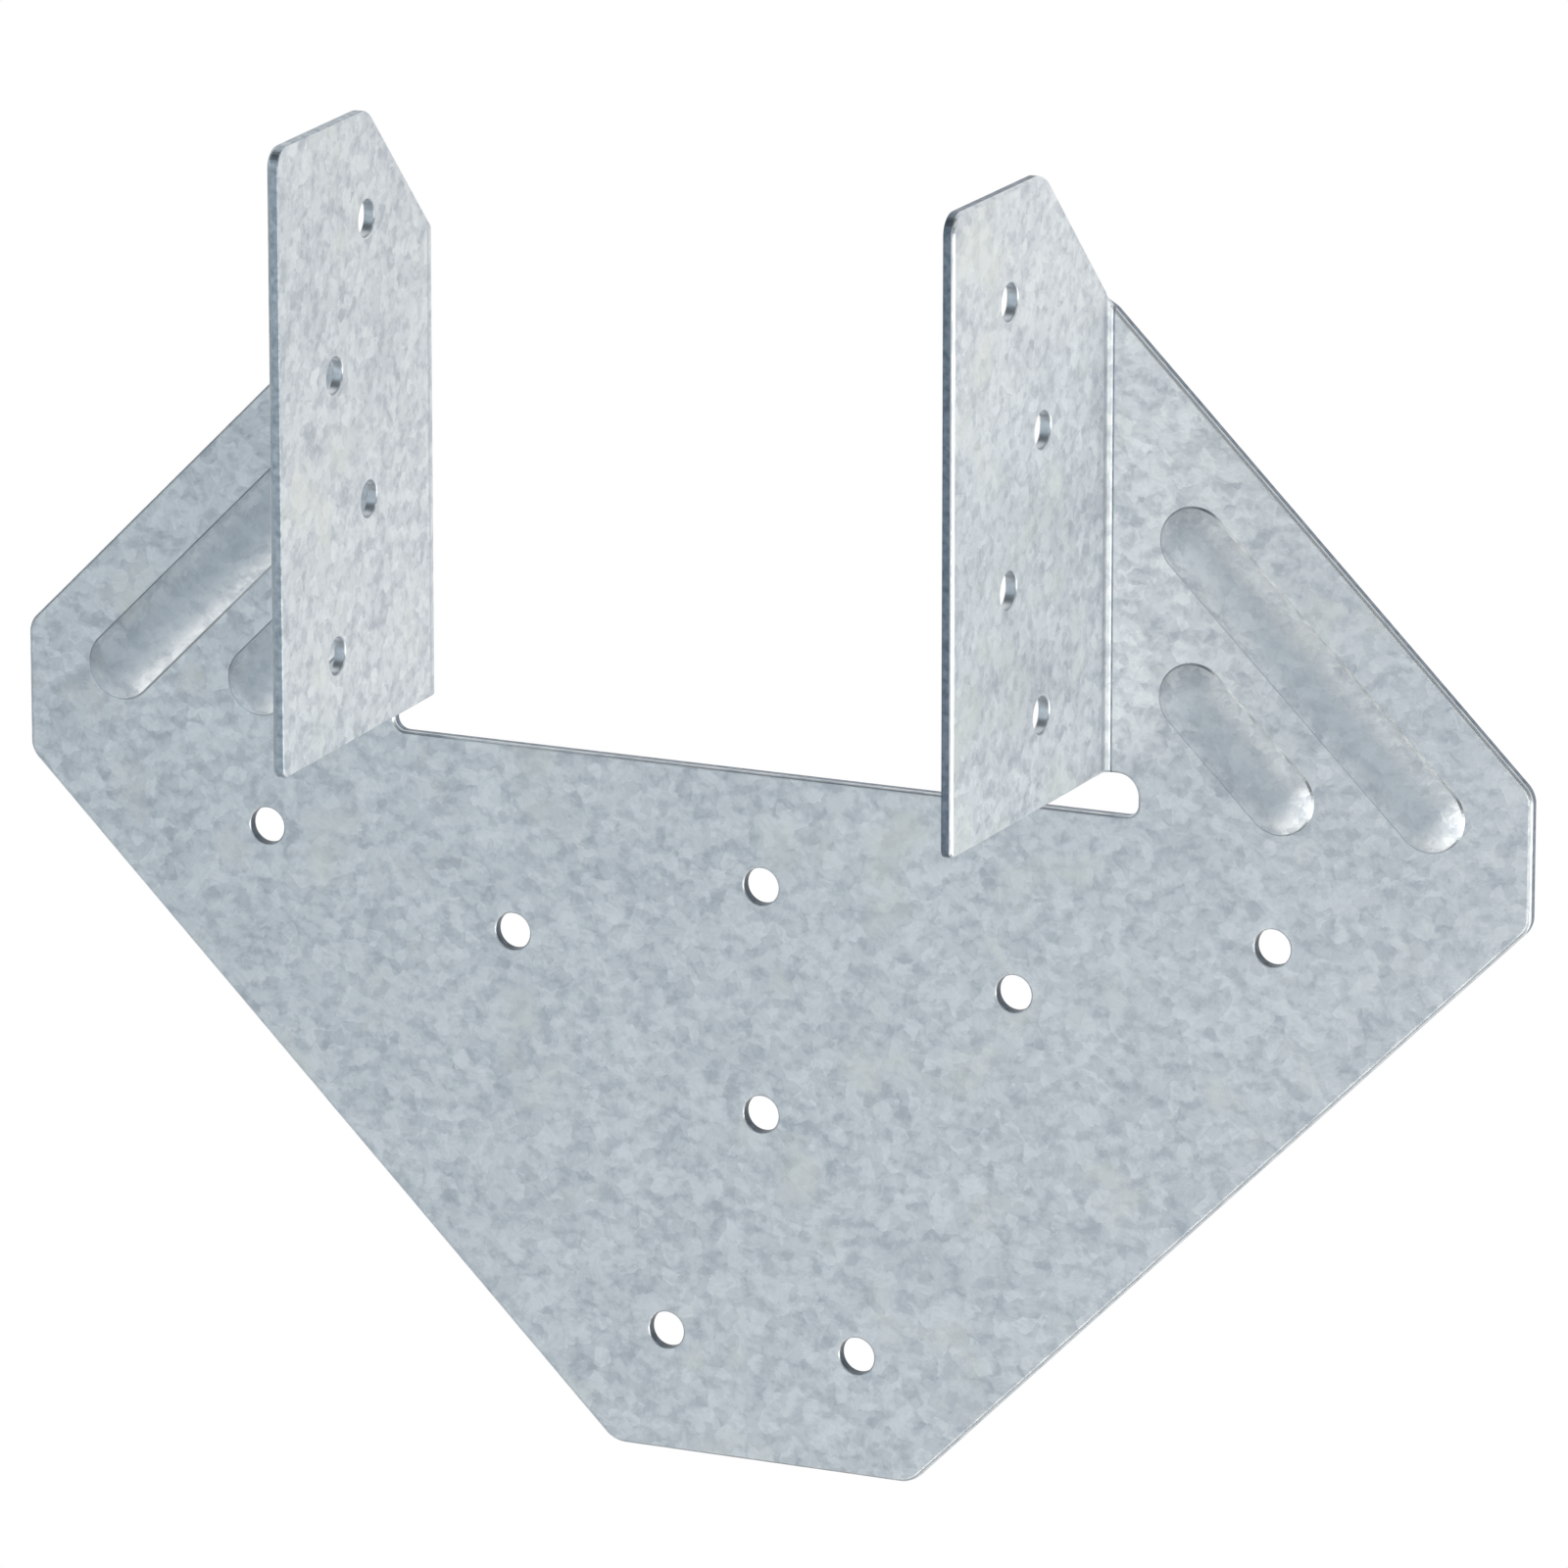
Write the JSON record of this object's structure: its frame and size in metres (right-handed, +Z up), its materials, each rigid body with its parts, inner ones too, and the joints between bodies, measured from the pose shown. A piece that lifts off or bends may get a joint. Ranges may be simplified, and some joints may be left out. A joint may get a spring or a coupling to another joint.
{
  "type": "hip corner plate",
  "caption": "Folded sheet-steel corner plate: a ribbed, pierced plate with upstanding flanges that hold a hip rafter on the corner of a wall's top plates.",
  "frame": {"origin": "middle of the bounding box's floor, on the plate's underside, 3 mm below the notch edge on the centre line", "axes": "+X across the plate from one wing to the other, +Y along the flanges towards their upper end and away from the pointed end, +Z up from the plate towards the flanges' free edges"},
  "size_m": [0.2088, 0.1776, 0.0471],
  "materials": {
    "galvanised_steel": "hot-dip galvanised, soft grey spangle, low sheen"
  },
  "bodies": {
    "root": {"hip_corner_plate": "galvanised_steel"}
  },
  "joints": []
}
